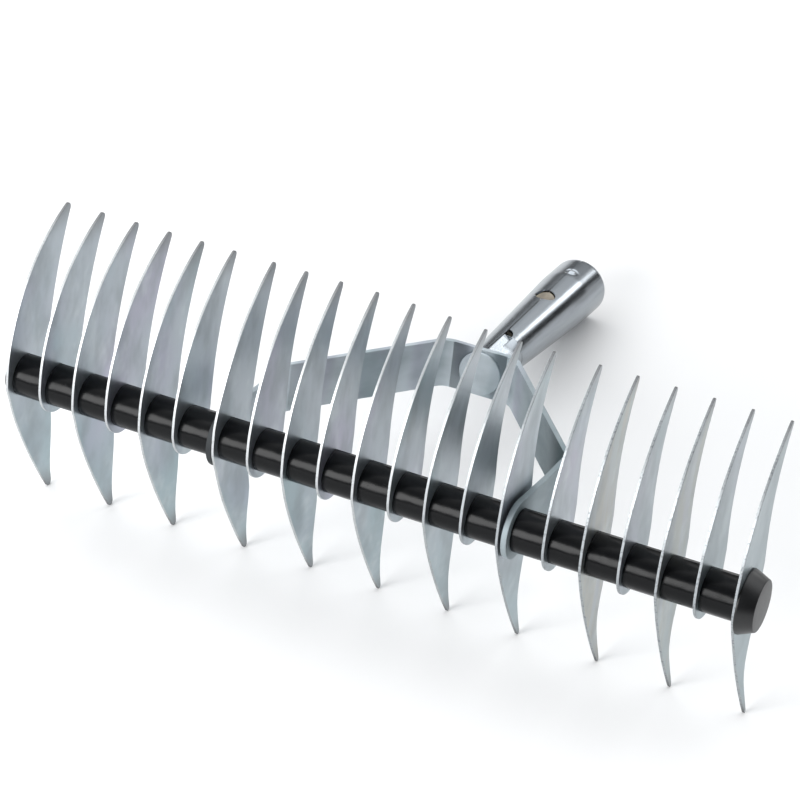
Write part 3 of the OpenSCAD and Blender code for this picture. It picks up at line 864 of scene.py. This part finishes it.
class RAKE_OT_bow(bpy.types.Operator):
    """Builds the bow from its two halves, which have different reaches"""

    bl_idname = "rake.bow"
    bl_label = "Bow"

    eye_steps = 48
    bend_steps = 10

    def execute(self, context):
        s = context.scene.rake_bow
        bm = bmesh.new()
        for side, reach, plate in ((1, s.right_reach, s.plate_right),
                                   (-1, s.left_reach, s.plate_left)):
            half = self.half(s, reach, plate, side * HANDLE_X)
            bmesh.ops.scale(half, verts=half.verts[:], vec=(side, 1, 1))
            mesh = bpy.data.meshes.new("half_bow")
            half.to_mesh(mesh)
            half.free()
            bm.from_mesh(mesh)
            bpy.data.meshes.remove(mesh)
        bmesh.ops.remove_doubles(bm, verts=bm.verts[:], dist=TOUCH)
        bmesh.ops.recalc_face_normals(bm, faces=bm.faces[:])
        bevel_sharp(bm, s.edge, segments=2, limit=50)
        looks = [look("bow_zinc", lambda: bow_zinc(context.scene.rake_finish))]
        finished(bm, "bow_strip", looks, BOW_BODY, "bow", flats=True)
        return {"FINISHED"}

    def half(self, s, reach, plate_long, middle):
        """Half a bow, drawn on the right: an eye, an arm between two bends and half the plate."""
        eye_out = span("bow")[1]
        eye_mid = eye_out - s.thick / 2
        arm = Vector((eye_mid, reach, 0.0))
        plate = Vector((middle + plate_long, s.plate_reach + s.thick / 2, 0.0))
        slope = (plate - arm).normalized()
        first = math.acos(slope.y)
        second = QUARTER - first
        trim_eye = s.bend * math.tan(first / 2)
        trim_plate = s.plate_bend * math.tan(second / 2)
        start_y = reach - trim_eye

        bm = bmesh.new()
        self.eye(bm, s, eye_out - s.thick, start_y)
        end = [f for f in bm.faces if all(abs(v.co.y - start_y) < TOUCH for v in f.verts)]
        end = self.bent(bm, end, (eye_mid - s.bend, start_y, 0.0), first)
        _, end = pushed(bm, end, slope * ((plate - arm).length - trim_eye - trim_plate))
        inside = Vector((-slope.y, slope.x, 0.0))
        end = self.bent(bm, end, plate - slope * trim_plate + inside * s.plate_bend, second)
        _, end = pushed(bm, end, Vector((trim_plate - plate_long, 0.0, 0.0)))
        for vert in once(v for f in end for v in f.verts):
            vert.co.x = middle
        bmesh.ops.delete(bm, geom=end, context="FACES_ONLY")
        return bm

    def eye(self, bm, s, eye_in, start_y):
        """The flat eye with its bore, which narrows along tangents to the strip, up to a bend."""
        half = s.width / 2
        touch = math.atan2(half, s.neck) + math.acos(s.eye_radius / math.hypot(s.neck, half))
        low_start = point(bm, eye_in, start_y, -half)
        low_neck = point(bm, eye_in, s.neck, -half)
        low_touch = point(bm, eye_in, s.eye_radius * math.cos(touch),
                          -s.eye_radius * math.sin(touch))
        high_touch = swing(bm, low_touch, (eye_in, 0, 0), 2 * touch - TURN, self.eye_steps)
        high_neck = point(bm, eye_in, s.neck, half)
        high_start = point(bm, eye_in, start_y, half)
        for a, b in ((low_touch, low_neck), (low_neck, low_start), (low_start, high_start),
                     (high_start, high_neck), (high_neck, high_touch)):
            bm.edges.new((a, b))
        bored(bm, eye_in, s.eye_bore, self.eye_steps)
        pushed(bm, bm.faces[:], (s.thick, 0, 0))

    def bent(self, bm, faces, centre, angle):
        """Sweeps the end face round a bend and gives the new end face."""
        geom = once(g for f in faces for g in [f, *f.edges, *f.verts])
        done = bmesh.ops.spin(bm, geom=geom, cent=centre, axis=(0, 0, 1), angle=angle,
                              steps=self.bend_steps)
        return [g for g in done["geom_last"] if isinstance(g, bmesh.types.BMFace)]


class RAKE_OT_rivet(bpy.types.Operator):
    """Builds the flat rivet between the bow and the socket"""

    bl_idname = "rake.rivet"
    bl_label = "Rivet"

    steps = 96

    def execute(self, context):
        s = context.scene.rake_bow
        nick = s.rivet_round / 2
        tail = s.rivet_grip + s.tail_high
        corners = [(0.0, -s.rivet_high), (s.rivet_radius, -s.rivet_high),
                   (s.rivet_radius, -nick), (s.rivet_radius - nick, 0.0),
                   (s.rivet_shank, 0.0), (s.rivet_shank, s.rivet_grip),
                   (s.tail_radius, s.rivet_grip), (s.tail_radius, tail), (0.0, tail)]
        bm = bmesh.new()
        turned(bm, [(HANDLE_X + r, s.plate_reach + y, 0.0) for r, y in corners],
               (HANDLE_X, 0, 0), (0, 1, 0), self.steps)
        front = s.plate_reach - s.rivet_high
        bevel_sharp(bm, s.rivet_round, segments=4, limit=60,
                    keep=lambda e: all(abs(v.co.y - front) < TOUCH for v in e.verts))
        looks = [look("bow_zinc", lambda: bow_zinc(context.scene.rake_finish))]
        finished(bm, "bow_rivet_head", looks, BOW_BODY, "bow_rivet")
        return {"FINISHED"}


class RAKE_OT_socket(bpy.types.Operator):
    """Rolls the socket from a sheet, with its seam, hole, notch and pressed lock"""

    bl_idname = "rake.socket"
    bl_label = "Socket"

    columns = 120
    base_steps = 64
    # A face is inside where its normal times the way out from the middle, in metres, is below this
    inward = -0.001

    def execute(self, context):
        s = context.scene.rake_socket
        finish = context.scene.rake_finish
        base_y = MOUTH_Y - s.long
        rows = self.rows(s)
        bm = bmesh.new()
        bmesh.ops.create_grid(bm, x_segments=self.columns, y_segments=len(rows) - 1, size=0.5)
        for vert in bm.verts:
            self.roll(s, vert, rows, base_y)
        grown = bmesh.ops.extrude_face_region(bm, geom=bm.faces[:])
        for g in grown["geom"]:
            if isinstance(g, bmesh.types.BMVert):
                out = Vector((g.co.x, 0.0, g.co.z))
                g.co -= out.normalized() * s.wall
        bmesh.ops.recalc_face_normals(bm, faces=bm.faces[:])
        bevel_sharp(bm, s.edge, segments=2, limit=60)
        for face in bm.faces:
            middle = face.calc_center_median()
            out = Vector((middle.x, 0.0, middle.z))
            face.material_index = 1 if face.normal.dot(out) < self.inward else 0
        self.base(bm, s, base_y)
        bmesh.ops.translate(bm, verts=bm.verts[:], vec=(HANDLE_X, 0, 0))
        looks = [look("socket_zinc", lambda: socket_zinc(finish, s)),
                 look("socket_inside", lambda: socket_inside(finish))]
        finished(bm, "socket_sheet", looks, BOW_BODY, "socket")
        return {"FINISHED"}

    @staticmethod
    def rows(s):
        """Distances of the sheet's rows from the closed end, close together where it is cut."""
        hair = 0.00001
        hole_rows = 24
        hole = s.long - s.hole_back
        lock = s.long - s.lock_back
        near = s.lock_half * 1.5
        notch_end = s.notch_up + s.notch_long

        def evenly(start, end, count):
            return [start + (end - start) * k / count for k in range(count)]

        rows = evenly(0.0, s.notch_up - hair, count=10) + [s.notch_up - hair]
        rows += evenly(s.notch_up + hair, notch_end, count=8)
        rows += evenly(notch_end, hole - s.hole, count=14)
        rows += [hole - s.hole * math.cos(math.pi * k / hole_rows) for k in range(hole_rows)]
        rows += evenly(hole + s.hole, lock - near, count=8)
        rows += evenly(lock - near, lock + near, count=26)
        rows += evenly(lock + near, s.long, count=8) + [s.long]
        return sorted(rows + [s.long - s.mouth])

    @staticmethod
    def edges(s, up):
        """Sideways places of the sheet's two edges beside the seam, the right one first."""
        hole = s.long - s.hole_back
        if up < s.notch_up:
            line = -s.shift * (1 - up / s.notch_up)
            return line + s.gap / 2, line - s.gap / 2
        if up < s.notch_up + s.notch_long:
            wide = s.notch_wide * math.sqrt(1 - ((up - s.notch_up) / s.notch_long) ** 2)
            return s.gap / 2 + wide, -s.gap / 2
        half = s.gap / 2
        if abs(up - hole) < s.hole:
            half = max(half, math.sqrt(s.hole ** 2 - (up - hole) ** 2))
        return half, -half

    def roll(self, s, vert, rows, base_y):
        """Moves a vertex of the flat grid to its place on the rolled sheet."""
        column = round((vert.co.x + 0.5) * self.columns)
        up = rows[round((vert.co.y + 0.5) * (len(rows) - 1))]
        taper = min(1.0, up / (s.long - s.mouth))
        radius = s.base_radius + (s.mouth_radius - s.base_radius) * taper
        right, left = (math.asin(side / radius) for side in self.edges(s, up))
        share = (1 - math.cos(math.pi * column / self.columns)) / 2
        turn = right + (TURN + left - right) * share
        radius *= self.flat(s, turn, up)
        if math.cos(turn) > 0:
            radius -= self.press(s, radius * math.sin(turn), up)
        vert.co = Vector((radius * math.sin(turn), base_y + up, radius * math.cos(turn)))

    @staticmethod
    def flat(s, turn, up):
        """Factor on the radius that presses the flap below the notch flat on its right side."""
        right = (turn + math.pi) % TURN - math.pi
        off = right - s.flap
        if abs(off) > s.flap or up > s.notch_up:
            return 1.0
        fade = min(1.0, (s.notch_up - up) / s.notch_long)
        if math.sin(right) * s.base_radius < s.notch_wide:
            fade = 1.0
        return 1.0 + fade * (math.cos(s.flap) / math.cos(off) - 1.0)

    @staticmethod
    def press(s, side, up):
        """Depth of the pressed lock: a smooth round tongue that stands up out of a shallow ring."""
        ring_at, ring_wide, ring_deep, tongue_high = 1.1, 0.22, 0.7, 1.6
        reach = math.hypot(side - s.lock_side, up - (s.long - s.lock_back)) / s.lock_half
        tongue = max(0.0, 1 - reach * reach) ** 2
        ring = math.exp(-((reach - ring_at) / ring_wide) ** 2)
        return s.lock_deep * (ring_deep * ring - tongue_high * tongue)

    def base(self, bm, s, base_y):
        """The closed end that the rivet holds against the bow."""
        across = Matrix.Translation((0, base_y, 0)) @ Matrix.Rotation(-QUARTER, 4, "X")
        disc = bmesh.ops.create_circle(bm, cap_ends=True, segments=self.base_steps,
                                       radius=s.base_radius - s.wall, matrix=across)["verts"]
        moved, _ = pushed(bm, once(f for v in disc for f in v.link_faces), (0, s.base_thick, 0))
        whole = once(f for v in moved + disc for f in v.link_faces)
        bmesh.ops.recalc_face_normals(bm, faces=whole)


class RAKE_OT_hardware(bpy.types.Operator):
    """Gives the hidden axle, bushes, washer and nut their bright steel"""

    bl_idname = "rake.hardware"
    bl_label = "Axle hardware"

    def execute(self, context):
        steel = look("bright_steel", lambda: bright_steel(context.scene.rake_finish))
        for node in ("axle", "pivot_bushes", "axle_washer", "axle_nut"):
            for slot in frame["nodes"][node].material_slots:
                slot.material = steel
        return {"FINISHED"}


class RAKE_OT_stage(bpy.types.Operator):
    """Lays the floor and sets the lights and the camera"""

    bl_idname = "rake.stage"
    bl_label = "Floor, lights and camera"

    # Name, place, point lit, width and height in metres, power in watts
    lights = (
        ("front_panel", (-0.62, -1.50, 0.76), (0.0, 0.0, 0.08), 1.00, 0.85, 25.0),
        ("back_panel", (0.488, 1.50, 0.50), (0.0, 0.05, 0.05), 0.24, 0.32, 1.25),
    )
    # Heights of the dome between which it brightens, and its strength at both
    dome_heights = (0.12, 0.75)
    dome_strengths = (0.04, 2.1)
    # Way to the dim side of the studio, the cosines to it between which the dome dims, and how much
    dim_side = (0.347, -0.697, 0.628)
    dim_cosines = (0.30, 0.85)
    dim_part = 0.90
    # Camera's film in millimetres, and how far it sees
    sensor_mm = 36.0
    far = 100.0

    def execute(self, context):
        stage = context.scene.rake_stage
        self.floor(context, stage)
        self.sky(context)
        for light in self.lights:
            self.panel(context, *light)
        self.camera(context, stage)
        context.scene.view_settings.view_transform = "Standard"
        context.scene.view_settings.look = "None"
        return {"FINISHED"}

    @staticmethod
    def floor(context, stage):
        """A large plain square to stand on."""
        bm = bmesh.new()
        bmesh.ops.create_grid(bm, x_segments=1, y_segments=1, size=stage.floor_half)
        mesh = bpy.data.meshes.new("floor")
        bm.to_mesh(mesh)
        bm.free()
        mesh.materials.append(look("pale_floor", lambda: pale_floor(context.scene.rake_finish)))
        floor = bpy.data.objects.new("floor", mesh)
        context.scene.collection.objects.link(floor)

    def sky(self, context):
        """A pale dome that is dimmer towards the horizon and round one side of the studio."""
        paint = Paint("studio", bpy.data.worlds)
        way = paint.node("ShaderNodeTexCoord", {}, {}, "Generated")
        up = paint.node("ShaderNodeSeparateXYZ", {}, {0: way}, "Z")
        low, high = self.dome_heights
        faint, bright = self.dome_strengths
        rise = paint.node("ShaderNodeMapRange", {"interpolation_type": "SMOOTHSTEP"}, {
            "Value": up, "From Min": low, "From Max": high, "To Min": faint, "To Max": bright})
        front = paint.node("ShaderNodeVectorMath", {"operation": "DOT_PRODUCT"},
                           {0: way, 1: self.dim_side}, "Value")
        strength = rise * (1.0 - paint.ramp(front, *self.dim_cosines) * self.dim_part)
        glow = paint.node("ShaderNodeBackground", {}, {
            "Color": (*context.scene.rake_finish.dome, 1.0), "Strength": strength})
        paint.node("ShaderNodeOutputWorld", {}, {"Surface": glow})
        context.scene.world = paint.owner

    @staticmethod
    def panel(context, name, place, lit, wide, high, power):
        """A soft light that faces the rake and that the camera doesn't see."""
        light = bpy.data.lights.new(name, "AREA")
        light.shape = "RECTANGLE"
        light.size = wide
        light.size_y = high
        light.energy = power
        lamp = bpy.data.objects.new(name, light)
        way = Vector(lit) - Vector(place)
        facing = way.to_track_quat("-Z", "Y").to_matrix().to_4x4()
        lamp.matrix_world = Matrix.Translation(place) @ facing
        lamp.visible_camera = False
        context.scene.collection.objects.link(lamp)

    def camera(self, context, stage):
        """The camera at the photograph's angle."""
        az, el = stage.azimuth, stage.elevation
        back = Vector((math.sin(az) * math.cos(el), -math.cos(az) * math.cos(el), math.sin(el)))
        level = Vector((math.cos(az), math.sin(az), 0.0))
        rise = back.cross(level)
        right = math.cos(stage.roll) * level + math.sin(stage.roll) * rise
        up = math.cos(stage.roll) * rise - math.sin(stage.roll) * level
        data = bpy.data.cameras.new("camera")
        data.lens = stage.lens
        data.sensor_width = self.sensor_mm
        data.clip_end = self.far
        camera = bpy.data.objects.new("camera", data)
        turn = Matrix((right, up, back)).transposed().to_4x4()
        camera.matrix_world = Matrix.Translation(Vector(stage.aim) + stage.distance * back) @ turn
        context.scene.collection.objects.link(camera)
        context.scene.camera = camera


class RAKE_PT_sidebar(bpy.types.Panel):
    """Buttons for the rake head's pieces"""

    bl_label = "Thatch rake head"
    bl_idname = "RAKE_PT_sidebar"
    bl_space_type = "VIEW_3D"
    bl_region_type = "UI"
    bl_category = "Rake"

    def draw(self, context):
        for operator in OPERATORS:
            self.layout.operator(operator.bl_idname)


OPERATORS = (RAKE_OT_blades, RAKE_OT_spacers, RAKE_OT_caps, RAKE_OT_bow, RAKE_OT_rivet,
             RAKE_OT_socket, RAKE_OT_hardware, RAKE_OT_stage)
GROUPS = {"rake_blades": BladeSizes, "rake_stack": StackSizes, "rake_spacers": SpacerSizes,
          "rake_bow": BowSizes, "rake_socket": SocketSizes, "rake_finish": Finish,
          "rake_stage": StageSizes}


def register():
    for cls in (*GROUPS.values(), *OPERATORS, RAKE_PT_sidebar):
        bpy.utils.register_class(cls)
    for name, cls in GROUPS.items():
        setattr(bpy.types.Scene, name, PointerProperty(type=cls))


def unregister():
    for name in GROUPS:
        delattr(bpy.types.Scene, name)
    for cls in (RAKE_PT_sidebar, *reversed(OPERATORS), *reversed(tuple(GROUPS.values()))):
        bpy.utils.unregister_class(cls)


def main():
    """Builds every piece in order."""
    register()
    for operator in OPERATORS:
        getattr(bpy.ops.rake, operator.bl_idname.split(".")[1])()


if __name__ == "__main__":
    main()
